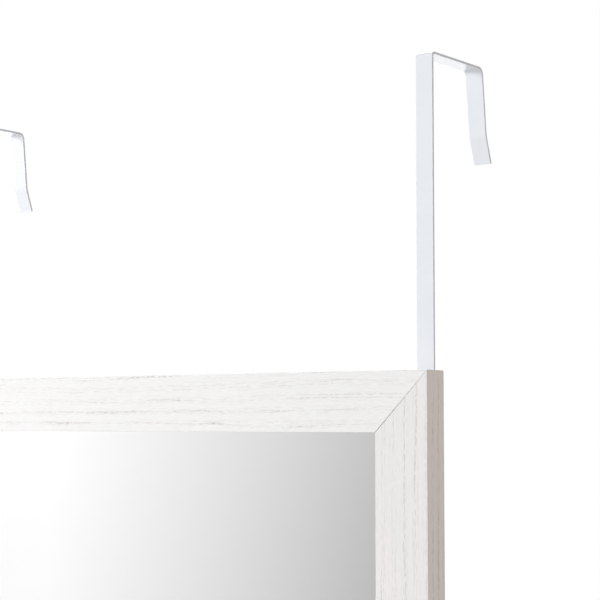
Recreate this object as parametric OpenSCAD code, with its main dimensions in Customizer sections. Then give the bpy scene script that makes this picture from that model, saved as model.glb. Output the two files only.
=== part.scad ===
// Over the door mirror: a tall mitred frame with a silvered pane, hung from a door's
// top edge by two bent flat steel straps whose height is set by slots in their legs.
// Millimetres. +X right as seen from the front, +Y towards the door, +Z up.
// The origin is midway between the hooks, where the door's top meets its front face.

/* [Frame] */
// Outside width of the frame
frame_w = 355; // [260:1:600]
// Outside height of the frame
frame_h = 1270; // [600:1:1700]
// Face width of the frame moulding
rail_w = 30; // [27:0.5:60]
// Depth of the frame moulding, front to back
rail_d = 15; // [14:0.5:24]
// Thickness of the lip in front of the pane
lip_t = 5; // [3:0.25:6]
// Width of the rabbet that the pane sits in
rabbet_w = 6; // [5:0.25:8]
// Radius that eases the two front edges of the moulding
ease_r = 0.4; // [0.3:0.1:1.5]
// Width of the glue line left open at each mitre
mitre_gap = 0.12; // [0.04:0.02:0.4]

/* [Pane and backing] */
// Thickness of the glass
glass_t = 2; // [1.5:0.25:3]
// Thickness of the silvering with its back paint
silvering_t = 0.2; // [0.1:0.05:0.3]
// Thickness of the foam tape behind the silvering
tape_t = 0.8; // [0.5:0.1:1.5]
// Width of the foam tape
tape_w = 9; // [6:0.5:15]
// Thickness of the hardboard backing
backing_t = 2.5; // [2:0.25:3]
// Free play round the pane and the backing, each side
pane_play = 0.75; // [0.25:0.05:1.25]

/* [Retainer points] */
// Retainer points along the top and the bottom rail, each
points_across = 3; // [2:1:6]
// Retainer points along each stile
points_down = 6; // [3:1:10]
// Width of a retainer point
point_w = 7; // [5:0.5:10]
// Thickness of a retainer point
point_t = 0.5; // [0.3:0.1:0.8]
// Length of a retainer point over the backing
point_tab = 9; // [5:0.5:14]
// Length of a retainer point driven into the rail
point_bite = 5.5; // [3:0.5:6]

/* [Corner nails] */
// Nails driven across each mitre
nails_per_mitre = 2; // [1:1:2]
// Distance of the first nail from each outside edge
nail_first = 7; // [5:0.5:8]
// Distance between the nails, along each outside edge
nail_pitch = 10; // [8:0.5:11]
// Length of each leg of the V
nail_leg = 5; // [3:0.5:6]
// Thickness of the nail strip
nail_t = 0.5; // [0.4:0.1:0.8]
// Depth that the nail reaches into the rail
nail_h = 7; // [4:0.5:9]
// Depth of the nail's back edge below the back face
nail_sink = 0.3; // [0.1:0.1:1]
// Angle between each leg of the V and the mitre
nail_spread = 38; // [25:1:42]

/* [Hooks] */
// Width of the hook strap
strap_w = 9.75; // [8:0.25:12]
// Thickness of the hook strap
strap_t = 1.2; // [0.8:0.1:2]
// Distance from the frame's outer edge to the strap
strap_inset = 5.5; // [3:0.25:7]
// Height of the strap's top above the frame's top edge, fully drawn out
hook_rise = 158; // [100:1:240]
// Length of the bar over the door, outside to outside
hook_reach = 49.6; // [38:0.2:70]
// Inside radius of the bend between the leg and the bar
front_bend_r = 1.2; // [0.8:0.1:5]
// Inside radius of the bend between the bar and the rear leg
rear_bend_r = 2.8; // [1.6:0.1:5]
// Height of the rear leg from the bar's top down to its knee
rear_leg = 35.2; // [20:0.2:60]
// Outward lean of the rear leg, in degrees
rear_splay = 6; // [0:0.5:12]
// Length of the flared tip below the knee
flare_len = 14.5; // [8:0.5:30]
// Outward lean of the flared tip, in degrees
flare_angle = 19.5; // [14:0.5:35]
// Radius of the knee, at the middle of the strap
knee_r = 12.5; // [6:0.5:20]

/* [Height adjustment] */
// Travel of each hook into the frame
hook_travel = 70; // [20:1:100]
// Distance between the two screws of a hook
screw_spacing = 25; // [15:1:40]
// Distance from the frame's top edge down to the slot, fully drawn out
slot_cover = 14; // [8:1:30]
// Metal left below the slot
strap_end = 8; // [4:0.5:20]

/* [Fasteners] */
// Diameter of the screws
screw_d = 4; // [3:0.5:4]
// Length of the screws under the head
screw_len = 10; // [8:0.5:11]
// Diameter of the screw heads
head_d = 8; // [7:0.25:9]
// Height of the screw heads
head_h = 2.2; // [1.6:0.1:2.6]
// Outside diameter of the washers
washer_d = 9; // [8:0.25:9.5]
// Thickness of the washers
washer_t = 0.8; // [0.5:0.1:1]
// Outside diameter of the threaded inserts
insert_d = 6; // [5:0.1:6.5]
// Length of the threaded inserts
insert_len = 8; // [6:0.5:9]

/* [Bumpers] */
// Diameter of the rubber bumpers at their base
bumper_d = 12; // [8:0.5:14]
// Distance of the bumpers from the frame's outer side edges
bumper_inset = 45; // [35:1:100]
// Distance that the bumpers keep the screw heads off the door
head_clear = 0.5; // [0.3:0.1:2]

/* [Clearances] */
// Gap on each side of the strap as it slides
slide_gap = 0.15; // [0.05:0.05:0.2]
// Gap between a screw and its slot
slot_gap = 0.3; // [0.2:0.05:0.5]
// Gap round a screw in its insert and its washer
thread_gap = 0.05; // [0.02:0.01:0.1]
// Gap round nails, retainer points and inserts in the wood
drive_gap = 0.05; // [0.02:0.01:0.1]

/* [Hidden] */

$fn = 64;
LEFT = -1;
RIGHT = 1;
TOP = 1;
BOTTOM = -1;
eps = 0.01;

// How far a cutter runs past the solid that it cuts
over = 1;

// Straight pieces of each rounded edge and of each bend in the strap
edge_steps = 8;
bend_steps = 12;

// Angle of a mitre
mitre = 45;

// Depth of the hole left past the screw's end
hole_spare = 1;

// Shapes of the small parts, as shares of their own sizes
point_shoulder = 0.4 * point_bite;
head_crown = 0.55 * head_h;
recess_depth = 0.6 * head_h;
recess_len = 0.55 * head_d;
recess_w = 0.12 * head_d;
bumper_shoulder_share = 0.45;

// Depths, from the front face to the door
bumper_h = 2 * slide_gap + strap_t + washer_t + head_h + head_clear;
back_y = -bumper_h;
front_y = back_y - rail_d;
glass_y = front_y + lip_t;
silvering_y = glass_y + glass_t;
tape_y = silvering_y + silvering_t;
backing_y = tape_y + tape_t;
points_y = backing_y + backing_t;
strap_y = back_y + slide_gap;
washer_y = strap_y + strap_t + slide_gap;
head_y = washer_y + washer_t;

// Heights, from the door's top downwards
frame_top = -(hook_rise - strap_t);
frame_mid = frame_top - frame_h / 2;
slot_top = frame_top - slot_cover;
upper_screw_z = slot_top - slot_gap - screw_d / 2 - hook_travel;
lower_screw_z = upper_screw_z - screw_spacing;
slot_bottom = lower_screw_z - screw_d / 2 - slot_gap;
strap_bottom = slot_bottom - strap_end;

// Places across the frame
strap_x = frame_w / 2 - strap_inset - strap_w / 2;
land_w = rail_w - rabbet_w;
pane_w = frame_w - 2 * (land_w + pane_play);
pane_h = frame_h - 2 * (land_w + pane_play);
sight_w = frame_w - 2 * rail_w;
sight_h = frame_h - 2 * rail_w;
slot_w = screw_d + 2 * slot_gap;
insert_hole_len = screw_len + hole_spare;
nail_setback = [for (i = [0 : nails_per_mitre - 1]) nail_first + i * nail_pitch];

// The hook seen from its side: straight runs, each followed by a bend.
// Each step is [straight length, turn towards the door's back, radius at mid strap].
rear_turn = 90 - rear_splay;
knee_turn = flare_angle - rear_splay;
front_take = front_bend_r + strap_t;
rear_take = (rear_bend_r + strap_t) * tan(rear_turn / 2);
knee_take = (knee_r - strap_t / 2) * tan(knee_turn / 2);
leg_straight = strap_t - front_take - strap_bottom;
bar_straight = hook_reach - front_take - rear_take;
rear_straight = rear_leg / cos(rear_splay) - rear_take - knee_take;
tip_straight = flare_len - knee_take;
hook_steps = [
    [leg_straight, 90, front_bend_r + strap_t / 2],
    [bar_straight, rear_turn, rear_bend_r + strap_t / 2],
    [rear_straight, -knee_turn, knee_r],
    [tip_straight, 0, 0]
];

// Points of an arc, from one angle to another
function arc(centre, r, from, to, steps = edge_steps) = [
    for (i = [0 : steps])
        let (a = from + (to - from) * i / steps)
        centre + r * [cos(a), sin(a)]
];

// ---- Frame ----

// Section of the moulding: x is the distance in from the outer edge, y the depth
module moulding_section() {
    polygon(concat(
        arc([ease_r, ease_r], ease_r, 180, 270),
        arc([rail_w - ease_r, ease_r], ease_r, -90, 0),
        [[rail_w, lip_t], [land_w, lip_t], [land_w, rail_d], [0, rail_d]]
    ));
}

// Face of a rail between its mitres, with its outer edge along x
module mitred_face(run) {
    outer = run / 2 - mitre_gap / sqrt(2);
    inner = outer - rail_w;
    polygon([[-outer, 0], [outer, 0], [inner, -rail_w], [-inner, -rail_w]]);
}

// A rail along x with its outer edge on top and its front face at y = 0
module rail(run) {
    intersection() {
        translate([-run / 2 - over, 0, 0])
            rotate([0, 90, 0])
                linear_extrude(run + 2 * over)
                    moulding_section();
        translate([0, rail_d + over, 0])
            rotate([90, 0, 0])
                linear_extrude(rail_d + 2 * over)
                    mitred_face(run);
    }
}

// Turns a rail drawn at the top of the frame to one of its four sides
module on_side(turn, reach) {
    translate([0, front_y, frame_mid])
        rotate([0, turn, 0])
            translate([0, 0, reach])
                children();
}

// One nail: a V of steel strip whose point lies on the mitre, opening towards +x and +z.
// A slot for it is wider by grow all round and rises out of the wood.
module v_nail(grow, rise) {
    for (side = [-1, 1])
        rotate([0, -mitre + side * nail_spread, 0])
            translate([-nail_t / 2 - grow, -nail_h - grow, -nail_t / 2 - grow])
                cube([nail_leg + nail_t + 2 * grow, nail_h + grow + rise, nail_t + 2 * grow]);
}

// The nails of one corner, sunk below the back face and opening inwards
module corner_nails(side, end, grow = 0, rise = 0) {
    turn = side == LEFT ? (end == BOTTOM ? 0 : 90) : (end == TOP ? 180 : 270);
    for (d = nail_setback)
        translate([
            side * (frame_w / 2 - d),
            back_y - nail_sink,
            frame_mid + end * (frame_h / 2 - d)
        ])
            rotate([0, turn, 0])
                v_nail(grow, rise);
}

// The slots that the nails of one corner leave in the wood
module nail_slots(side, end) {
    corner_nails(side, end, drive_gap, nail_sink + over);
}

// The nails of one corner
module nails(side, end) {
    color("silver")
        corner_nails(side, end);
}

// One retainer point: a pointed tab that lies on the backing and bites into the rail
module retainer_point(grow = 0) {
    half = point_w / 2 + grow;
    translate([0, point_t + grow, 0])
        rotate([90, 0, 0])
            linear_extrude(point_t + 2 * grow)
                polygon([
                    [-half, -point_tab], [half, -point_tab], [half, point_shoulder],
                    [0, point_bite + grow], [-half, point_shoulder]
                ]);
}

// The retainer points along one rail, in the rail's own place
module points_along(count, sight, grow = 0) {
    pitch = sight / count;
    for (i = [0 : count - 1])
        translate([(i - (count - 1) / 2) * pitch, points_y - front_y, -land_w])
            retainer_point(grow);
}

module top_rail() {
    color([0.93, 0.92, 0.90])
        difference() {
            on_side(0, frame_h / 2) rail(frame_w);
            on_side(0, frame_h / 2) points_along(points_across, sight_w, drive_gap);
            nail_slots(LEFT, TOP);
            nail_slots(RIGHT, TOP);
        }
}

module bottom_rail() {
    color([0.93, 0.92, 0.90])
        difference() {
            on_side(180, frame_h / 2) rail(frame_w);
            on_side(180, frame_h / 2) points_along(points_across, sight_w, drive_gap);
            nail_slots(LEFT, BOTTOM);
            nail_slots(RIGHT, BOTTOM);
        }
}

// A stile, with the holes for its two threaded inserts
module stile(side) {
    turn = side == RIGHT ? 90 : -90;
    color([0.93, 0.92, 0.90])
        difference() {
            on_side(turn, frame_w / 2) rail(frame_h);
            on_side(turn, frame_w / 2) points_along(points_down, sight_h, drive_gap);
            nail_slots(side, TOP);
            nail_slots(side, BOTTOM);
            at_screws(side)
                along_y(back_y - insert_hole_len, insert_hole_len + over, insert_d / 2 + drive_gap);
        }
}

// ---- Pane and backing ----

// A sheet in the rabbet
module sheet(from_y, thickness, w = pane_w, h = pane_h) {
    translate([-w / 2, from_y, frame_mid - h / 2])
        cube([w, thickness, h]);
}

module mirror_glass() {
    color([0.80, 0.88, 0.86, 0.5])
        sheet(glass_y, glass_t);
}

module mirror_silvering() {
    color([0.78, 0.79, 0.80])
        sheet(silvering_y, silvering_t);
}

module glazing_tape() {
    color([0.25, 0.25, 0.26])
        difference() {
            sheet(tape_y, tape_t);
            sheet(tape_y - over, tape_t + 2 * over, pane_w - 2 * tape_w, pane_h - 2 * tape_w);
        }
}

module backing_board() {
    color([0.55, 0.42, 0.30])
        sheet(backing_y, backing_t);
}

module retainer_points() {
    color("silver") {
        for (turn = [0, 180])
            on_side(turn, frame_h / 2) points_along(points_across, sight_w);
        for (turn = [-90, 90])
            on_side(turn, frame_w / 2) points_along(points_down, sight_h);
    }
}

// ---- Hooks ----

function heading(a) = [cos(a), sin(a)];
function right_of(a) = [sin(a), -cos(a)];

// One side of the strip, at a distance off to the right of its middle line
function strip_side(steps, off, at, a, i = 0) =
    i == len(steps) ? [] :
    let (
        straight = steps[i][0],
        turn = steps[i][1],
        r = steps[i][2],
        bend = turn > 0 ? 1 : -1,
        end = at + straight * heading(a),
        centre = end + bend * r * right_of(a),
        from = a + bend * 90,
        next = centre - bend * r * right_of(a - turn)
    )
    concat(
        i == 0 ? [at + off * right_of(a)] : [],
        turn == 0 ? [end + off * right_of(a)] : arc(centre, r - bend * off, from, from - turn, bend_steps),
        strip_side(steps, off, next, a - turn, i + 1)
    );

function reverse(v) = [for (i = [len(v) - 1 : -1 : 0]) v[i]];

// Outline of the bent strip, with y as x and z as y
module hook_outline() {
    foot = [strap_y + strap_t / 2, strap_bottom];
    polygon(concat(
        strip_side(hook_steps, strap_t / 2, foot, 90),
        reverse(strip_side(hook_steps, -strap_t / 2, foot, 90))
    ));
}

module hook(side) {
    color([0.92, 0.93, 0.94])
        difference() {
            translate([side * strap_x - strap_w / 2, 0, 0])
                rotate([90, 0, 90])
                    linear_extrude(strap_w)
                        hook_outline();
            slot(side);
        }
}

// The slot in the leg, with round ends
module slot(side) {
    top = slot_top - slot_w / 2;
    bottom = slot_bottom + slot_w / 2;
    for (z = [top, bottom])
        translate([side * strap_x, 0, z])
            along_y(strap_y - over, strap_t + 2 * over, slot_w / 2);
    translate([side * strap_x - slot_w / 2, strap_y - over, bottom])
        cube([slot_w, strap_t + 2 * over, top - bottom]);
}

// ---- Fasteners ----

// A cylinder along y
module along_y(from_y, length, r) {
    translate([0, from_y, 0])
        rotate([-90, 0, 0])
            cylinder(h = length, r = r);
}

module at_screws(side) {
    for (z = [upper_screw_z, lower_screw_z])
        translate([side * strap_x, 0, z])
            children();
}

// A low pan head screw with a cross recess, its head towards the door
module screw() {
    difference() {
        union() {
            along_y(head_y - screw_len, screw_len + eps, screw_d / 2);
            translate([0, head_y, 0])
                rotate([-90, 0, 0])
                    rotate_extrude()
                        polygon(concat(
                            [[0, 0], [head_d / 2, 0]],
                            arc([head_d / 2 - head_crown, head_h - head_crown], head_crown, 0, 90),
                            [[0, head_h]]
                        ));
        }
        for (turn = [45, 135])
            translate([0, head_y + head_h - recess_depth / 2 + eps, 0])
                rotate([0, turn, 0])
                    cube([recess_len, recess_depth + 2 * eps, recess_w], center = true);
    }
}

module hook_screws(side) {
    color("gainsboro")
        at_screws(side) screw();
}

module hook_washers(side) {
    color("silver")
        at_screws(side)
            difference() {
                along_y(washer_y, washer_t, washer_d / 2);
                along_y(washer_y - over, washer_t + 2 * over, screw_d / 2 + thread_gap);
            }
}

module hook_inserts(side) {
    color("goldenrod")
        at_screws(side)
            difference() {
                along_y(back_y - insert_len, insert_len, insert_d / 2);
                along_y(back_y - insert_len - over, insert_len + 2 * over, screw_d / 2 + thread_gap);
            }
}

// ---- Bumpers ----

// A rubber bumper with a rounded shoulder and a flat face towards the door
module bumper() {
    r = bumper_d / 2;
    shoulder = min(r, bumper_h) * bumper_shoulder_share;
    rotate([-90, 0, 0])
        rotate_extrude()
            polygon(concat(
                [[0, 0], [r, 0]],
                arc([r - shoulder, bumper_h - shoulder], shoulder, 0, 90),
                [[0, bumper_h]]
            ));
}

module bumper_pair(end) {
    color([0.18, 0.18, 0.19])
        for (side = [LEFT, RIGHT])
            translate([
                side * (frame_w / 2 - bumper_inset),
                back_y,
                frame_mid + end * (frame_h / 2 - land_w / 2)
            ])
                bumper();
}

top_rail();
bottom_rail();
stile(LEFT);  // left_stile
stile(RIGHT);  // right_stile
nails(LEFT, TOP);  // top_left_nails
nails(RIGHT, TOP);  // top_right_nails
nails(LEFT, BOTTOM);  // bottom_left_nails
nails(RIGHT, BOTTOM);  // bottom_right_nails
mirror_glass();
mirror_silvering();
glazing_tape();
backing_board();
retainer_points();
hook(LEFT);  // left_hook
hook_screws(LEFT);  // left_hook_screws
hook_washers(LEFT);  // left_hook_washers
hook_inserts(LEFT);  // left_hook_inserts
hook(RIGHT);  // right_hook
hook_screws(RIGHT);  // right_hook_screws
hook_washers(RIGHT);  // right_hook_washers
hook_inserts(RIGHT);  // right_hook_inserts
bumper_pair(TOP);  // upper_bumpers
bumper_pair(BOTTOM);  // lower_bumpers
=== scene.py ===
"""The looks of an over the door mirror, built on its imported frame.

Metres, +X right as seen from the front, +Y towards the door, +Z up.
"""

import math

import bmesh
import bpy
from mathutils import Matrix, Vector


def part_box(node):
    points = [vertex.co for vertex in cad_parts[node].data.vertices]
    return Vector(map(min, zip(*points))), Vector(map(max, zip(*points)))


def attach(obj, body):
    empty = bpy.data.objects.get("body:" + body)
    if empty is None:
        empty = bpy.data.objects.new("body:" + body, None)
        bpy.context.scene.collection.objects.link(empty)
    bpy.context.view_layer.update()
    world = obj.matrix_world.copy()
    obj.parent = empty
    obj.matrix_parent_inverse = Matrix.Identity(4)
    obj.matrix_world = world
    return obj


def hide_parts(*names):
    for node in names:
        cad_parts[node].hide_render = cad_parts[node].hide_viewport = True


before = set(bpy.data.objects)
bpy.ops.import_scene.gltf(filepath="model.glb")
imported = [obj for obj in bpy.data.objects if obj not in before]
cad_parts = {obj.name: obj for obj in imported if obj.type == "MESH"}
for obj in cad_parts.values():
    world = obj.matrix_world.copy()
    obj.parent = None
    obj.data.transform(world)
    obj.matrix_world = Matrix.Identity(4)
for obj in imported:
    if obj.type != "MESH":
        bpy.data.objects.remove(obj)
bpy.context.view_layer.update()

MM = 0.001
X_AXIS, Z_AXIS = 0, 2
FRAME_BODY = "mirror_frame"

# ---------------------------------------------------------------- sizes

# Read from the frame
top_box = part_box("top_rail")
bottom_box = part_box("bottom_rail")
stile_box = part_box("right_stile")
glass_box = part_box("mirror_glass")
silver_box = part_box("mirror_silvering")

FRONT = top_box[0].y
BACK = top_box[1].y
TOP = top_box[1].z
BOTTOM = bottom_box[0].z
RIGHT = stile_box[1].x
FRAME_W = 2 * RIGHT
FRAME_H = TOP - BOTTOM
RAIL_W = stile_box[1].x - stile_box[0].x
RAIL_D = BACK - FRONT
LIP_T = glass_box[0].y - FRONT

# The moulding. Its foil is folded over the back by FOLD_W, and its two front edges are eased
RABBET_W = 6 * MM
EASE_R = 0.4 * MM
SIGHT_EASE_R = 0.15 * MM
FOLD_W = 5 * MM

# The glue line of a mitre, at the frame's outer edge and at its sight edge
MITRE_GAP_OUTER = 0.03 * MM
MITRE_GAP_SIGHT = 0.2 * MM
MITRE_CHAMFER = 0.12 * MM

# The space left round what is driven into the moulding, and the depth of an insert's hole
DRIVE_GAP = 0.05 * MM
INSERT_HOLE = 11 * MM

# The pane, and the gap between the glass and its film
GLASS_BEVEL = 0.3 * MM
FILM_GAP = 0.02 * MM

# The hook strap. STRAP_CUT is the depth of its broken ends and of its slot's flare
STRAP_T = 1.2 * MM
STRAP_EDGE_R = 0.12 * MM
STRAP_CUT = 0.1 * MM

# The hook's front and rear bend by their inner radius and its knee by its middle line's,
# and its angles in degrees from upright
FRONT_BEND_R = 1.2 * MM
REAR_BEND_R = 2.8 * MM
HOOK_REACH = 49.6 * MM
REAR_LEG = 35.2 * MM
REAR_SPLAY = 6
FLARE_LEN = 14.5 * MM
FLARE_ANGLE = 19.5
KNEE_R = 12.5 * MM

# The slot, from SLOT_COVER below the frame's top to STRAP_END above the strap's lower end
SLOT_W = 4.6 * MM
SLOT_COVER = 14 * MM
STRAP_END = 8 * MM

# Broken edges of the small parts
POINT_EDGE = 0.12 * MM
BOARD_EDGE = 0.3 * MM


# ---------------------------------------------------------------- camera

# The photograph's camera, placed from the frame's front top right corner
CAMERA_FROM_CORNER = Vector((0.42655, -0.68555, -0.02545))
CAMERA_YAW = 36.207
CAMERA_PITCH = 4.179
CAMERA_LENS = 101.03
SENSOR = 36
CLIP_NEAR = 0.01
CLIP_FAR = 100


def make_camera():
    data = bpy.data.cameras.new("camera")
    data.sensor_width = SENSOR
    data.lens = CAMERA_LENS
    data.clip_start = CLIP_NEAR
    data.clip_end = CLIP_FAR
    camera = bpy.data.objects.new("camera", data)
    bpy.context.scene.collection.objects.link(camera)
    camera.location = Vector((RIGHT, FRONT, TOP)) + CAMERA_FROM_CORNER
    camera.rotation_euler = (math.radians(90 + CAMERA_PITCH), 0, math.radians(CAMERA_YAW))
    bpy.context.scene.camera = camera


make_camera()


# ---------------------------------------------------------------- shader trees

# The values between which most of a noise lies
NOISE_SPAN = (0.3, 0.7)


class Shader:
    """A node tree that is built a node at a time."""

    def __init__(self, tree):
        self.tree = tree
        tree.nodes.clear()

    def add(self, kind, **settings):
        node = self.tree.nodes.new("ShaderNode" + kind)
        for key, value in settings.items():
            setattr(node, key, value)
        return node

    def feed(self, socket, value):
        """Sets an input to a value, or links it to another node's output."""
        if isinstance(value, bpy.types.NodeSocket):
            self.tree.links.new(value, socket)
        else:
            socket.default_value = value

    def math(self, operation, a, b=None, clamp=False):
        node = self.add("Math", operation=operation, use_clamp=clamp)
        self.feed(node.inputs[0], a)
        if b is not None:
            self.feed(node.inputs[1], b)
        return node.outputs[0]

    def ramp(self, value, low, high, to_low=0.0, to_high=1.0, kind="SMOOTHSTEP"):
        node = self.add("MapRange", interpolation_type=kind)
        self.feed(node.inputs["Value"], value)
        node.inputs["From Min"].default_value = low
        node.inputs["From Max"].default_value = high
        node.inputs["To Min"].default_value = to_low
        node.inputs["To Max"].default_value = to_high
        return node.outputs["Result"]

    def mix(self, factor, a, b):
        node = self.add("Mix", data_type="RGBA")
        self.feed(node.inputs["Factor"], factor)
        self.feed(node.inputs[6], a)
        self.feed(node.inputs[7], b)
        return node.outputs[2]

    def vector(self, operation, a, b):
        node = self.add("VectorMath", operation=operation)
        self.feed(node.inputs[0], a)
        self.feed(node.inputs[1], b)
        return node.outputs[0]

    def place(self):
        return self.add("TexCoord").outputs["Object"]

    def noise(self, vector, detail=2.0, roughness=0.5, scale=1.0):
        node = self.add("TexNoise")
        self.feed(node.inputs["Vector"], vector)
        node.inputs["Scale"].default_value = scale
        node.inputs["Detail"].default_value = detail
        node.inputs["Roughness"].default_value = roughness
        return node.outputs["Fac"]

    def blotches(self, scale, low=0.0, high=1.0, detail=2.0):
        """A noise that runs from low to high."""
        return self.ramp(self.noise(self.place(), detail, scale=scale), *NOISE_SPAN, low, high)

    def bump(self, height, distance, strength):
        node = self.add("Bump")
        node.inputs["Strength"].default_value = strength
        node.inputs["Distance"].default_value = distance
        self.feed(node.inputs["Height"], height)
        return node.outputs["Normal"]


def material(name, base, roughness, normal=None, **fixed):
    """A principled material. Colour, roughness and normal may be functions of a Shader."""
    made = bpy.data.materials.new(name)
    made.use_nodes = True
    s = Shader(made.node_tree)
    output = s.add("OutputMaterial")
    surface = s.add("BsdfPrincipled")
    s.feed(output.inputs["Surface"], surface.outputs[0])
    s.feed(surface.inputs["Base Color"], base(s) if callable(base) else base)
    s.feed(surface.inputs["Roughness"], roughness(s) if callable(roughness) else roughness)
    if normal is not None:
        s.feed(surface.inputs["Normal"], normal(s))
    for key, value in fixed.items():
        surface.inputs[key.replace("_", " ")].default_value = value
    return made


def rgb(r, g, b):
    return (r, g, b, 1.0)


# ---------------------------------------------------------------- materials

# Distance between rows of pores, across the face and through the depth
ROW_PITCH = 6.3 * MM
ROW_DEPTH_PITCH = 5.2 * MM

# How far the rows wave, in rows
WIDE_SWAY = 1.2
NARROW_SWAY = 0.35

# Streaks of the grain: noise scale along it and across it, and detail
WIDE_WAVE = (5, 20, 1)
NARROW_WAVE = (28, 70, 2)
VEINS = (8, 560, 1)
DASHES = (45, 150, 2)
TICKS = (380, 1500, 3)
FIBRES = (240, 1900, 3)
BANDS = (9, 60, 2)
FINE_BANDS = (200, 700, 4)
STREAK_ROUGHNESS = 0.6

# How strongly pores and haze darken the foil
PORE_INK = 0.6
HAZE_INK = 0.2

# The relief of the grain, which is sunk, and the haze's share of it
GRAIN_DEPTH = 0.04 * MM
GRAIN_SUNK = -0.5
HAZE_RELIEF = 0.5


def grain(s, axis):
    """Printed oak grain: rows of short dark ticks, with a faint fibre between them.
    The rows run along one axis and wave, and the ticks follow them."""
    split = s.add("SeparateXYZ")
    s.feed(split.inputs[0], s.place())
    along = split.outputs[axis]
    cross = split.outputs[Z_AXIS if axis == X_AXIS else X_AXIS]
    depth = split.outputs[1]

    def streaks(kind, across):
        along_scale, across_scale, detail = kind
        at = s.add("CombineXYZ")
        s.feed(at.inputs[0], s.math("MULTIPLY", along, along_scale))
        s.feed(at.inputs[1], s.math("MULTIPLY", across, across_scale))
        s.feed(at.inputs[2], s.math("MULTIPLY", depth, across_scale / 3))
        return s.noise(at.outputs[0], detail, STREAK_ROUGHNESS)

    across_rows = s.math("DIVIDE", cross, ROW_PITCH)
    depth_rows = s.math("DIVIDE", depth, ROW_DEPTH_PITCH)
    rows = s.math("ADD", across_rows, depth_rows)
    rows = s.math("ADD", rows, s.math("MULTIPLY", streaks(WIDE_WAVE, cross), WIDE_SWAY))
    rows = s.math("ADD", rows, s.math("MULTIPLY", streaks(NARROW_WAVE, cross), NARROW_SWAY))
    flow = s.math("MULTIPLY", rows, ROW_PITCH)
    off_row = s.math("PINGPONG", rows, 0.5)
    near_row = s.ramp(off_row, 0.06, 0.25, 1.0, 0.2)
    off_vein = s.math("ABSOLUTE", s.math("SUBTRACT", streaks(VEINS, flow), 0.5))
    veins = s.ramp(off_vein, 0.0, 0.05, 1.0, 0.0)
    dashes = s.ramp(streaks(DASHES, flow), 0.24, 0.5)
    ticks = s.ramp(streaks(TICKS, flow), 0.38, 0.6)
    fibres = s.ramp(streaks(FIBRES, flow), 0.42, 0.66)
    pores = s.math("MULTIPLY", s.math("MULTIPLY", near_row, veins), s.math("MULTIPLY", dashes, ticks))
    haze = s.math("MULTIPLY", s.ramp(off_row, 0.1, 0.45, 1.0, 0.4), fibres)
    return pores, haze, streaks(BANDS, flow), streaks(FINE_BANDS, flow)


def foil_colour(axis, ground, cool_ground, streak, warm_streak, banded):
    """The foil's paper in two grounds, with grain printed on it in two inks."""
    def colour(s):
        pores, haze, bands, fine_bands = grain(s, axis)
        paper = s.mix(s.ramp(fine_bands if banded else bands, 0.38, 0.62), ground, cool_ground)
        ink = s.mix(s.ramp(bands, 0.4, 0.6), streak, warm_streak)
        inked_pores = s.math("MULTIPLY", pores, PORE_INK)
        inked_haze = s.math("MULTIPLY", haze, HAZE_INK)
        amount = s.math("ADD", inked_pores, inked_haze, clamp=True)
        return s.mix(amount, paper, ink)
    return colour


def foil_normal(axis):
    """The faint relief that follows the printed grain."""
    def normal(s):
        pores, haze, *bands = grain(s, axis)
        relief = s.math("ADD", pores, s.math("MULTIPLY", haze, HAZE_RELIEF))
        return s.bump(relief, GRAIN_DEPTH, GRAIN_SUNK)
    return normal


def foil(name, axis, tones, banded=False):
    """Printed foil along one axis. A banded foil changes its tone in narrow bands."""
    def roughness(s):
        return s.blotches(scale=90, low=0.48, high=0.6)
    return material(name, foil_colour(axis, *tones, banded), roughness, foil_normal(axis))


def raw_board(name, light, dark, scale):
    """Raw fibreboard: a warm ground with fibre specks."""
    def colour(s):
        specks = s.ramp(s.noise(s.place(), 5, 0.7, scale), 0.35, 0.68, 0.0, 0.7)
        cloud = s.blotches(scale=25, high=0.3)
        return s.mix(s.math("ADD", specks, cloud), light, dark)

    def normal(s):
        fibres = s.noise(s.place(), 4, 0.6, scale * 1.5)
        return s.bump(fibres, distance=0.08 * MM, strength=0.6)
    return material(name, colour, roughness=0.85, normal=normal)


def powder_coat(name, light, dark):
    """White powder coat with a fine orange peel."""
    def colour(s):
        return s.mix(s.blotches(scale=60), light, dark)

    def roughness(s):
        return s.blotches(scale=300, low=0.09, high=0.15)

    def normal(s):
        return s.bump(s.noise(s.place(), scale=1100), distance=0.003 * MM, strength=0.3)
    return material(name, colour, roughness, normal)


def metal(name, light, dark, low, high, scale):
    """Bare or plated metal with faint blotches and rub marks."""
    def colour(s):
        return s.mix(s.blotches(scale, detail=3), light, dark)

    def roughness(s):
        return s.blotches(scale * 4, low, high, detail=3)

    def normal(s):
        return s.bump(s.noise(s.place(), scale=scale * 8), distance=0.02 * MM, strength=0.4)
    return material(name, colour, roughness, normal, Metallic=1.0)


def soft_black(name, light, dark, roughness, scale):
    """Rubber or foam, with its moulded or cellular skin."""
    def colour(s):
        return s.mix(s.blotches(scale, detail=3), light, dark)

    def normal(s):
        return s.bump(s.noise(s.place(), scale=scale * 3), distance=0.05 * MM, strength=0.5)
    return material(name, colour, roughness, normal)


def clear_glass():
    """Polished float glass with a trace of wipe marks."""
    def roughness(s):
        return s.ramp(s.noise(s.place(), scale=12), 0.4, 0.8, 0.0, 0.004)
    return material(
        "clear_glass", rgb(0.995, 0.995, 0.995), roughness,
        Transmission_Weight=1.0, IOR=1.5)


def ground_glass():
    """The pane's green ground edge."""
    def roughness(s):
        return s.blotches(scale=900, low=0.35, high=0.6, detail=3)
    return material(
        "ground_glass", rgb(0.80, 0.92, 0.87), roughness,
        Transmission_Weight=0.6, IOR=1.5)


def silver_film():
    """The mirror's silvering."""
    def roughness(s):
        return s.ramp(s.noise(s.place(), scale=9), 0.4, 0.8, 0.0, 0.006)
    return material("silvering", rgb(0.975, 0.975, 0.975), roughness, Metallic=1.0)


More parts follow.
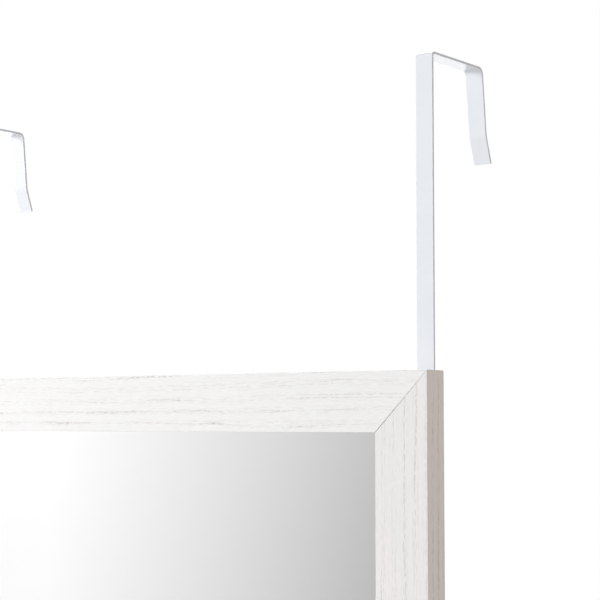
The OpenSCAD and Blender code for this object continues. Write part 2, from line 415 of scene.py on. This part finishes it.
def back_paint():
    """Grey paint on the silvering's back."""
    def colour(s):
        return s.mix(s.noise(s.place(), 3, scale=40), rgb(0.30, 0.31, 0.32), rgb(0.38, 0.39, 0.40))
    return material("mirror_back_paint", colour, roughness=0.6)


# Ground, cooler ground, grey streak and beige streak
ACROSS_TONES = (
    rgb(0.894, 0.891, 0.895), rgb(0.889, 0.893, 0.898),
    rgb(0.43, 0.43, 0.43), rgb(0.50, 0.47, 0.44))
UPRIGHT_TONES = (
    rgb(0.877, 0.858, 0.855), rgb(0.862, 0.855, 0.852),
    rgb(0.42, 0.42, 0.42), rgb(0.50, 0.46, 0.43))
# The sides' tones are warmer than the face's: partly the foil's own warmer tone, partly painted warm shade
SIDE_TONES_WITH_PAINTED_WARM_SHADE = (
    rgb(0.912, 0.846, 0.806), rgb(0.888, 0.862, 0.847),
    rgb(0.42, 0.38, 0.36), rgb(0.50, 0.38, 0.32))

# The foils of a rail's face and of its sides, by the axis that the rail runs along. The sides' foil is
# warmer, partly from painted warm shade
FOIL = {
    X_AXIS: (
        foil("foil_across", X_AXIS, ACROSS_TONES),
        foil("foil_across_side", X_AXIS, SIDE_TONES_WITH_PAINTED_WARM_SHADE, banded=True)),
    Z_AXIS: (
        foil("foil_upright", Z_AXIS, UPRIGHT_TONES),
        foil("foil_upright_side", Z_AXIS, SIDE_TONES_WITH_PAINTED_WARM_SHADE, banded=True)),
}
GLUED_EDGE = raw_board("glued_mitre", rgb(0.22, 0.19, 0.17), rgb(0.14, 0.12, 0.11), 900)
FIBREBOARD = raw_board("fibreboard", rgb(0.56, 0.43, 0.30), rgb(0.40, 0.29, 0.19), 900)
HARDBOARD = raw_board("hardboard", rgb(0.36, 0.235, 0.14), rgb(0.25, 0.15, 0.085), 700)
PAINT = powder_coat("hook_paint", rgb(0.842, 0.876, 0.926), rgb(0.827, 0.862, 0.914))
# A darker copy of the paint for the strap's edges: painted shade
EDGE_PAINT_WITH_PAINTED_SHADE = powder_coat("hook_paint_edge_painted_shade", rgb(0.74, 0.79, 0.845), rgb(0.70, 0.75, 0.81))
ZINC = metal("zinc_plate", rgb(0.56, 0.57, 0.59), rgb(0.46, 0.48, 0.51), 0.26, 0.42, 260)
BRASS = metal("insert_brass", rgb(0.78, 0.60, 0.30), rgb(0.66, 0.49, 0.22), 0.25, 0.42, 300)
FOAM = soft_black("foam_tape", rgb(0.05, 0.05, 0.055), rgb(0.03, 0.03, 0.033), 0.9, 1500)
RUBBER = soft_black("bumper_rubber", rgb(0.045, 0.045, 0.048), rgb(0.028, 0.028, 0.03), 0.62, 400)
GLASS = clear_glass()
GROUND_GLASS = ground_glass()
SILVER = silver_film()
BACK_PAINT = back_paint()


# ---------------------------------------------------------------- mesh tools

SMOOTH_LIMIT = math.radians(32)
CIRCLE_STEPS = 48
WELD = 0.001 * MM

# How far a cutter reaches out past a face
OUT = 0.5 * MM


def make_object(name, bm, materials):
    """An object made of a bmesh, smooth shaded except at sharp edges."""
    bmesh.ops.recalc_face_normals(bm, faces=bm.faces)
    mesh = bpy.data.meshes.new(name)
    bm.to_mesh(mesh)
    bm.free()
    for m in materials:
        mesh.materials.append(m)
    shade(mesh)
    made = bpy.data.objects.new(name, mesh)
    bpy.context.scene.collection.objects.link(made)
    return made


def shade(mesh):
    mesh.polygons.foreach_set("use_smooth", [True] * len(mesh.polygons))
    mesh.set_sharp_from_angle(angle=SMOOTH_LIMIT)


def carve(obj, cutters):
    """Cuts the cutters out of obj and removes them."""
    for cutter in cutters:
        step = obj.modifiers.new("cut", "BOOLEAN")
        step.operation = "DIFFERENCE"
        step.solver = "EXACT"
        step.object = cutter
    graph = bpy.context.evaluated_depsgraph_get()
    graph.update()
    mesh = bpy.data.meshes.new_from_object(obj.evaluated_get(graph))
    obj.modifiers.clear()
    obj.data = mesh
    mesh.name = obj.name
    shade(mesh)
    for cutter in cutters:
        bpy.data.objects.remove(cutter)


def inset_loop(points, inset):
    """A closed loop of 2D points moved inwards. Its inside lies on the left as it runs."""
    moved = []
    for i, p in enumerate(points):
        before = (p - points[i - 1]).normalized()
        after = (points[(i + 1) % len(points)] - p).normalized()
        lean = Vector((-before.y - after.y, before.x + after.x))
        moved.append(p + lean * (2 * inset / lean.length_squared))
    return moved


def arc(centre, r, start, end, steps):
    """Points of an arc between two angles in degrees."""
    angles = [math.radians(start + (end - start) * i / steps) for i in range(steps + 1)]
    return [centre + Vector((math.cos(a), math.sin(a))) * r for a in angles]


def skin(bm, loops):
    """Joins closed loops in turn and caps both ends. Returns the rows of side faces."""
    rings = [[bm.verts.new(p) for p in loop] for loop in loops]
    rows = []
    for a, b in zip(rings, rings[1:]):
        row = []
        for i, corner in enumerate(a):
            after = (i + 1) % len(a)
            row.append(bm.faces.new((corner, a[after], b[after], b[i])))
        rows.append(row)
    bm.faces.new(list(reversed(rings[0])))
    bm.faces.new(rings[-1])
    return rows


def circle(x, y, z, r):
    """Points of a circle about an axis along Y."""
    turns = [2 * math.pi * i / CIRCLE_STEPS for i in range(CIRCLE_STEPS)]
    return [Vector((x + r * math.cos(t), y, z + r * math.sin(t))) for t in turns]


def dress(node, coat):
    """Gives a carried-over CAD node its material."""
    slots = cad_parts[node].data.materials
    slots.clear()
    slots.append(coat)


def soften(node, width):
    """Breaks a carried-over CAD node's sharp edges."""
    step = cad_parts[node].modifiers.new("broken edges", "BEVEL")
    step.width = width
    step.segments = 2
    step.limit_method = "ANGLE"
    step.angle_limit = SMOOTH_LIMIT


def fit(made, body, slot, *nodes):
    """Sets a new piece in the place of its CAD nodes, with its flat faces shaded flat."""
    step = made.modifiers.new("flat faces", "WEIGHTED_NORMAL")
    step.keep_sharp = True
    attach(made, body)
    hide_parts(*nodes)


# ---------------------------------------------------------------- frame rails

FACE, SIDE, BOARD, MITRE = 0, 1, 2, 3
EASE_STEPS = 6


def moulding():
    """Section of the moulding, and the material of the side after each point.
    x is the distance in from the outer edge and y the depth from the front."""
    outer_centre = Vector((EASE_R, EASE_R))
    sight_centre = Vector((RAIL_W - SIGHT_EASE_R, SIGHT_EASE_R))
    rabbet = RAIL_W - RABBET_W
    points = arc(outer_centre, EASE_R, 180, 270, EASE_STEPS)
    points += arc(sight_centre, SIGHT_EASE_R, -90, 0, EASE_STEPS)
    points += [Vector(p) for p in (
        (RAIL_W, LIP_T), (rabbet, LIP_T), (rabbet, RAIL_D), (FOLD_W, RAIL_D), (0, RAIL_D))]
    half = EASE_STEPS // 2
    kinds = [SIDE] * half + [FACE] * (half + 1 + EASE_STEPS + 1) + [BOARD] * 3 + [SIDE] * 2
    return points, kinds


def fattened(node, grow):
    """A closed copy of a CAD node's mesh, thicker by grow on every side."""
    bm = bmesh.new()
    bm.from_mesh(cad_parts[node].data)
    bmesh.ops.remove_doubles(bm, verts=bm.verts, dist=WELD)
    bm.normal_update()
    moves = [v.normal * v.calc_shell_factor() * grow for v in bm.verts]
    for v, move in zip(bm.verts, moves):
        v.co += move
    return bm


def nail_slots(node):
    """The slots of one corner's nails, open to the back."""
    low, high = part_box(node)
    bm = fattened(node, DRIVE_GAP)
    for v in bm.verts:
        if v.co.y > (low.y + high.y) / 2:
            v.co.y = BACK + OUT
    return make_object("cutter", bm, [])


def insert_hole(x, z, r):
    """The hole of one threaded insert, open to the back."""
    bm = bmesh.new()
    skin(bm, [circle(x, BACK - INSERT_HOLE, z, r), circle(x, BACK + OUT, z, r)])
    return make_object("cutter", bm, [])


def insert_holes(side):
    """The holes of one hook's two inserts."""
    low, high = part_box(side + "_hook_inserts")
    r = (high.x - low.x) / 2
    x = (low.x + high.x) / 2
    return [insert_hole(x, z, r + DRIVE_GAP) for z in (low.z + r, high.z - r)]


def mitre_gap(inwards):
    """Width of the glue line, so far in from the outer edge. It opens towards the sight edge."""
    return MITRE_GAP_OUTER + (MITRE_GAP_SIGHT - MITRE_GAP_OUTER) * inwards / RAIL_W


def rail(name, run, turn, reach, axis, corners, hook_side=None):
    """One side of the frame, between mitres whose edges are just broken. Its outer edge is run
    long and lies reach away from the frame's centre, turned by turn degrees from the top."""
    section, kinds = moulding()
    broken = inset_loop(section, MITRE_CHAMFER)
    pull = MITRE_CHAMFER * math.sqrt(2)
    to_side = (Matrix.Translation((0, FRONT, (TOP + BOTTOM) / 2))
               @ Matrix.Rotation(math.radians(turn), 4, "Y")
               @ Matrix.Translation((0, 0, reach)))

    def on_mitre(p, end, short):
        half_run = run / 2 - mitre_gap(p.x) / math.sqrt(2) - short - p.x
        return to_side @ Vector((end * half_run, p.y, -p.x))

    def loop(points, end, short):
        return [on_mitre(p, end, short) for p in points]

    bm = bmesh.new()
    rows = skin(bm, [
        loop(broken, -1, 0), loop(section, -1, pull), loop(section, 1, pull), loop(broken, 1, 0)])
    for row in rows:
        for face, kind in zip(row, kinds):
            face.material_index = kind
    for cap in (f for f in bm.faces if len(f.verts) > 4):
        cap.material_index = MITRE
    made = make_object(name + "_moulding", bm, [*FOIL[axis], FIBREBOARD, GLUED_EDGE])
    cutters = [nail_slots(corner + "_nails") for corner in corners]
    cutters.append(make_object("cutter", fattened("retainer_points", DRIVE_GAP), []))
    if hook_side:
        cutters += insert_holes(hook_side)
    carve(made, cutters)
    fit(made, FRAME_BODY, "frame_foil", name)


def make_rails():
    rail("top_rail", FRAME_W, 0, FRAME_H / 2, X_AXIS, ["top_left", "top_right"])
    rail("bottom_rail", FRAME_W, 180, FRAME_H / 2, X_AXIS, ["bottom_left", "bottom_right"])
    rail("right_stile", FRAME_H, 90, FRAME_W / 2, Z_AXIS, ["top_right", "bottom_right"], "right")
    rail("left_stile", FRAME_H, -90, FRAME_W / 2, Z_AXIS, ["top_left", "bottom_left"], "left")


make_rails()


# ---------------------------------------------------------------- pane and backing

def slab(name, low, high, bevel, materials, back_kind, edge_kind):
    """A sheet that spans x and z, with bevelled edges. Its front has the first material."""
    def loop(y, inset):
        a, b = low.x + inset, high.x - inset
        c, d = low.z + inset, high.z - inset
        return [Vector(p) for p in ((a, y, c), (b, y, c), (b, y, d), (a, y, d))]

    bm = bmesh.new()
    rows = skin(bm, [
        loop(low.y, bevel), loop(low.y + bevel, 0), loop(high.y - bevel, 0), loop(high.y, bevel)])
    for row in rows:
        for face in row:
            face.material_index = edge_kind
    for face in bm.faces:
        if all(v.co.y > high.y - bevel / 2 for v in face.verts):
            face.material_index = back_kind
    made = make_object(name, bm, materials)
    made.data.polygons.foreach_set("use_smooth", [False] * len(made.data.polygons))
    return made


def make_glass():
    """The clear pane, with a ground edge."""
    low, high = glass_box
    high = high - Vector((0, FILM_GAP, 0))
    glass = slab(
        "mirror_pane", low, high, GLASS_BEVEL, [GLASS, GROUND_GLASS], back_kind=0, edge_kind=1)
    fit(glass, FRAME_BODY, "clear_glass", "mirror_glass")


def make_silvering():
    """The film behind the pane, painted on its back and edges."""
    low, high = silver_box
    bevel = (high.y - low.y) / 4
    silver = slab("silvered_back", low, high, bevel, [SILVER, BACK_PAINT], back_kind=1, edge_kind=1)
    fit(silver, FRAME_BODY, "silvering", "mirror_silvering")


make_glass()
make_silvering()


# ---------------------------------------------------------------- hooks

BEND_STEPS = 18
KNEE_STEPS = 8
STRAP_EDGE_STEPS = 4
SLOT_STEPS = 20


class Path:
    """A bent strip seen from its side, in y and z, that grows by straights and bends."""

    def __init__(self, at, heading):
        self.at = at
        self.heading = heading
        self.stations = [(at, heading)]

    def forward(self):
        a = math.radians(self.heading)
        return Vector((math.cos(a), math.sin(a)))

    def straight(self, length):
        self.at = self.at + self.forward() * length
        self.stations.append((self.at, self.heading))

    def bend(self, turn, r, steps):
        """Turns by so many degrees, towards the door's back if turn is positive."""
        side = 1 if turn > 0 else -1
        f = self.forward()
        centre = self.at + Vector((f.y, -f.x)) * (side * r)
        start = self.at - centre
        heading = self.heading
        for i in range(1, steps + 1):
            a = -math.radians(turn) * i / steps
            spoke = Vector((
                start.x * math.cos(a) - start.y * math.sin(a),
                start.x * math.sin(a) + start.y * math.cos(a)))
            self.stations.append((centre + spoke, heading - turn * i / steps))
        self.at, self.heading = self.stations[-1]


def strap_path(foot, top):
    """The strap's middle line: up the leg, over the door, down the rear leg and out at its tip."""
    rear_turn = 90 - REAR_SPLAY
    knee_turn = FLARE_ANGLE - REAR_SPLAY
    front_take = FRONT_BEND_R + STRAP_T
    rear_take = (REAR_BEND_R + STRAP_T) * math.tan(math.radians(rear_turn / 2))
    knee_take = (KNEE_R - STRAP_T / 2) * math.tan(math.radians(knee_turn / 2))
    path = Path(foot, 90)
    path.straight(top - front_take - foot.y)
    path.bend(90, FRONT_BEND_R + STRAP_T / 2, BEND_STEPS)
    path.straight(HOOK_REACH - front_take - rear_take)
    path.bend(rear_turn, REAR_BEND_R + STRAP_T / 2, BEND_STEPS)
    path.straight(REAR_LEG / math.cos(math.radians(REAR_SPLAY)) - rear_take - knee_take)
    path.bend(-knee_turn, KNEE_R, KNEE_STEPS)
    path.straight(FLARE_LEN - knee_take)
    return path.stations


def strap_section(width, inset):
    """The strap's rounded section: x across it and y through its thickness."""
    w = width / 2 - inset
    t = STRAP_T / 2 - inset
    r = STRAP_EDGE_R
    points = []
    for sx, sy, start in ((1, -1, -90), (1, 1, 0), (-1, 1, 90), (-1, -1, 180)):
        centre = Vector((sx * (w - r), sy * (t - r)))
        points += arc(centre, r, start, start + 90, STRAP_EDGE_STEPS)
    return points


def slot_cutter(x, front, top, bottom):
    """The slot's own shape, flared where its edges are rounded."""
    def loop(y, grow):
        r = SLOT_W / 2 + grow
        upper = arc(Vector((x, top - SLOT_W / 2)), r, 0, 180, SLOT_STEPS)
        lower = arc(Vector((x, bottom + SLOT_W / 2)), r, 180, 360, SLOT_STEPS)
        return [Vector((p.x, y, p.y)) for p in upper + lower]

    flare = STRAP_CUT
    back = front + STRAP_T
    bm = bmesh.new()
    skin(bm, [
        loop(front - OUT, flare + OUT), loop(front + flare, 0),
        loop(back - flare, 0), loop(back + OUT, flare + OUT)])
    return make_object("cutter", bm, [])


def hook(side):
    """One strap, bent over the door. Its edges get a darker copy of the paint, which is painted shade."""
    low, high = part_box(side + "_hook")
    centre = (low.x + high.x) / 2
    width = high.x - low.x
    stations = strap_path(Vector((low.y + STRAP_T / 2, low.z)), high.z)
    full = strap_section(width, 0)
    cut = strap_section(width, STRAP_CUT)

    def loop(section, at, heading, shift=0):
        a = math.radians(heading)
        y, z = at + Vector((math.cos(a), math.sin(a))) * shift
        return [Vector((centre + p.x, y + p.y * math.sin(a), z - p.y * math.cos(a))) for p in section]

    loops = [loop(cut, *stations[0]), loop(full, *stations[0], STRAP_CUT)]
    loops += [loop(full, *station) for station in stations[1:-1]]
    loops += [loop(full, *stations[-1], -STRAP_CUT), loop(cut, *stations[-1])]
    bm = bmesh.new()
    for row in skin(bm, loops):
        for face in row:
            off_centre = abs(face.calc_center_median().x - centre)
            on_edge = off_centre > width / 2 - STRAP_EDGE_R / 2
            # Faces on the strap's edges take the darker paint, which is painted shade
            face.material_index = 1 if on_edge else 0
    made = make_object(side + "_strap", bm, [PAINT, EDGE_PAINT_WITH_PAINTED_SHADE])
    carve(made, [slot_cutter(centre, low.y, TOP - SLOT_COVER, low.z + STRAP_END)])
    fit(made, side + "_hook_slide", "hook_paint", side + "_hook")


hook("left")
hook("right")


# ---------------------------------------------------------------- small parts

for node_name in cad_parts:
    if "nails" in node_name or node_name.endswith(("screws", "washers")) or node_name == "retainer_points":
        dress(node_name, ZINC)
    if node_name.endswith("inserts"):
        dress(node_name, BRASS)
    if node_name.endswith("bumpers"):
        dress(node_name, RUBBER)
dress("glazing_tape", FOAM)
dress("backing_board", HARDBOARD)
soften("retainer_points", POINT_EDGE)
soften("backing_board", BOARD_EDGE)


# ---------------------------------------------------------------- studio

WHITE = rgb(1, 1, 1)
WARM = rgb(1, 0.92, 0.86)

# The least and most that a reflection shows of the studio, and of the glow behind the object
STUDIO_LEAST = 0.35
STUDIO_MOST = 1.06
GLOW_MOST = 2.0


def studio_level(s, x, y, z):
    """What mirror, glass and metal see: a studio that is bright on its left side and darker
    low down. Before the object it is lighter on the right and near the floor, and a glow
    stands behind the object on the left."""
    left = s.ramp(x, -0.70, -0.52, 1.07, 0.48, "LINEAR")
    right = s.ramp(x, 0.1, 0.8, 0.0, 0.1)
    upper = s.math("MULTIPLY", s.math("MINIMUM", z, 0.2), 0.55)
    before = s.ramp(y, -0.4, 0.0, 1.0, 0.0)
    ahead = s.math("MULTIPLY", s.ramp(x, -0.45, -0.05, 0.0, 0.2), before)
    below = s.math("MULTIPLY", s.ramp(z, -0.4, -0.09, 0.4, 0.0), before)
    behind = s.math("MULTIPLY", s.ramp(y, 0.1, 0.5, 0.0, 1.4), s.ramp(x, -0.5, -0.1, 1.0, 0.0))
    studio = s.math("ADD", s.math("ADD", left, right), upper)
    studio = s.math("ADD", studio, s.math("ADD", ahead, below))
    studio = s.math("MINIMUM", s.math("MAXIMUM", studio, STUDIO_LEAST), STUDIO_MOST)
    return s.math("MINIMUM", s.math("ADD", studio, behind), GLOW_MOST)


def ambient_light(s, x, z):
    """What matt surfaces get: less from above, more from straight below, and less blue from
    the right."""
    level = s.math("SUBTRACT", s.ramp(z, -0.7, -0.1, 0.49, 0.6), s.ramp(z, 0.1, 0.6, 0.0, 0.22))
    level = s.math("ADD", level, s.ramp(z, -0.95, -0.75, 0.27, 0.0))
    return s.vector("MULTIPLY", level, s.mix(s.ramp(x, 0.1, 0.7), WHITE, WARM))


def make_world():
    """White to the camera, a studio to shiny surfaces and ambient light to matt ones."""
    world = bpy.data.worlds.new("studio")
    bpy.context.scene.world = world
    world.use_nodes = True
    s = Shader(world.node_tree)
    output = s.add("OutputWorld")
    background = s.add("Background")
    s.feed(output.inputs["Surface"], background.outputs[0])
    split = s.add("SeparateXYZ")
    s.feed(split.inputs[0], s.add("TexCoord").outputs["Generated"])
    x, y, z = split.outputs
    ray = s.add("LightPath").outputs
    shiny = s.math("MAXIMUM", ray["Is Glossy Ray"], ray["Is Transmission Ray"])
    level = s.mix(shiny, ambient_light(s, x, z), studio_level(s, x, y, z))
    s.feed(background.inputs["Color"], s.mix(ray["Is Camera Ray"], level, WHITE))


# Name, place, what it points at, side in metres and power of each square lamp
LAMPS = (
    ("key", (-1.62, -1.32, 0.35), (0, 0, -0.4), 1.2, 37.8),
    ("low fill", (-2.1, -3.4, -0.8), (0, 0, -0.9), 1.4, 14),
    ("rear fill", (0.35, 2.7, -0.2), (0, 0, -0.6), 1.8, 24),
    ("top", (0, 0.6, 7), (0, 0, 0), 6, 85),
)


def soft_light(name, place, aim, side, power):
    """A square lamp that adds light but no highlight, and isn't seen itself."""
    data = bpy.data.lights.new(name, "AREA")
    data.shape = "SQUARE"
    data.size = side
    data.energy = power
    light = bpy.data.objects.new(name, data)
    bpy.context.scene.collection.objects.link(light)
    light.location = place
    light.rotation_euler = (Vector(aim) - Vector(place)).to_track_quat("-Z", "Y").to_euler()
    light.visible_camera = False
    light.visible_glossy = False
    light.visible_transmission = False


FLOOR_R = 3
FLOOR_STEPS = 96
FLOOR_DROP = 2 * MM
FLOOR_TONE = rgb(0.9, 0.9, 0.9)
FLOOR_GLOW = 0.2

# The floor fades where its distance from the middle, plus some fine grit, is in this range.
# The grit adds half of FADE_GRIT on average, and scatters the fade so that no line shows
FADE_START = 1.9
FADE_END = 3.5
FADE_GRIT = 2.4
GRIT_SCALE = 400


def lit_floor(s):
    """Matt and pale, with a faint glow that only the camera and reflections see."""
    matt = s.add("BsdfDiffuse")
    s.feed(matt.inputs["Color"], FLOOR_TONE)
    ray = s.add("LightPath").outputs
    shown = s.math("MAXIMUM", ray["Is Camera Ray"], ray["Is Glossy Ray"])
    shown = s.math("MAXIMUM", shown, ray["Is Transmission Ray"])
    glow = s.add("Emission")
    s.feed(glow.inputs["Strength"], s.math("MULTIPLY", shown, FLOOR_GLOW))
    lit = s.add("AddShader")
    s.feed(lit.inputs[0], matt.outputs[0])
    s.feed(lit.inputs[1], glow.outputs[0])
    return lit.outputs[0]


def floor_fade(s):
    """0 near the middle of the floor and 1 at its rim."""
    reach = s.add("VectorMath", operation="LENGTH")
    s.feed(reach.inputs[0], s.place())
    grit = s.math("MULTIPLY", s.noise(s.place(), scale=GRIT_SCALE), FADE_GRIT)
    return s.ramp(s.math("ADD", reach.outputs["Value"], grit), FADE_START, FADE_END)


def make_floor():
    """A pale round floor that fades into the white background."""
    bm = bmesh.new()
    bmesh.ops.create_circle(bm, cap_ends=True, radius=FLOOR_R, segments=FLOOR_STEPS)
    made = bpy.data.materials.new("floor")
    made.use_nodes = True
    s = Shader(made.node_tree)
    output = s.add("OutputMaterial")
    blend = s.add("MixShader")
    s.feed(blend.inputs[0], floor_fade(s))
    s.feed(blend.inputs[1], lit_floor(s))
    s.feed(blend.inputs[2], s.add("BsdfTransparent").outputs[0])
    s.feed(output.inputs["Surface"], blend.outputs[0])
    floor = make_object("floor", bm, [made])
    floor.location = (0, 0, BOTTOM - FLOOR_DROP)
    floor.visible_diffuse = False


make_world()
make_floor()
for lamp in LAMPS:
    soft_light(*lamp)

bpy.context.scene.view_settings.view_transform = "Standard"


bpy.context.view_layer.update()
